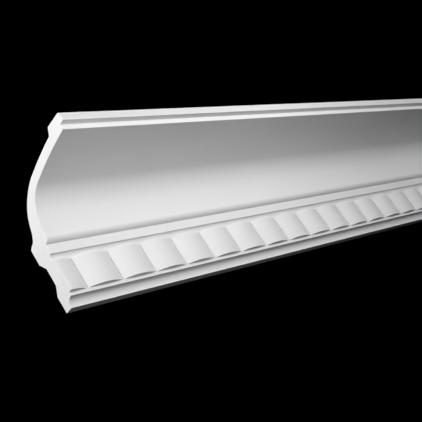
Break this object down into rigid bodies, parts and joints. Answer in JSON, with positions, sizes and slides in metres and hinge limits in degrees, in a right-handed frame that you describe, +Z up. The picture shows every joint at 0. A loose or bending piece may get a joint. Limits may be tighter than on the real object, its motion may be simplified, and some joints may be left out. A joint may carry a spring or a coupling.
{
  "type": "cornice moulding length",
  "caption": "Length of light cornice moulding for a wall and ceiling corner: lip and fillet, plain cove, row of convex tiles and a small cavetto, cut square at both ends.",
  "frame": {"origin": "at mid-length, on the wall plane, half way up the lower wall contact strip (10 mm above the bottom edge)", "axes": "+Z up the wall towards the ceiling, +Y into the wall, so the moulded face looks towards -Y and down, +X along the length"},
  "size_m": [1, 0.134, 0.15],
  "materials": {
    "painted_foam": "white primed rigid polyurethane, matt"
  },
  "bodies": {
    "root": {"cornice": "painted_foam"}
  },
  "joints": []
}
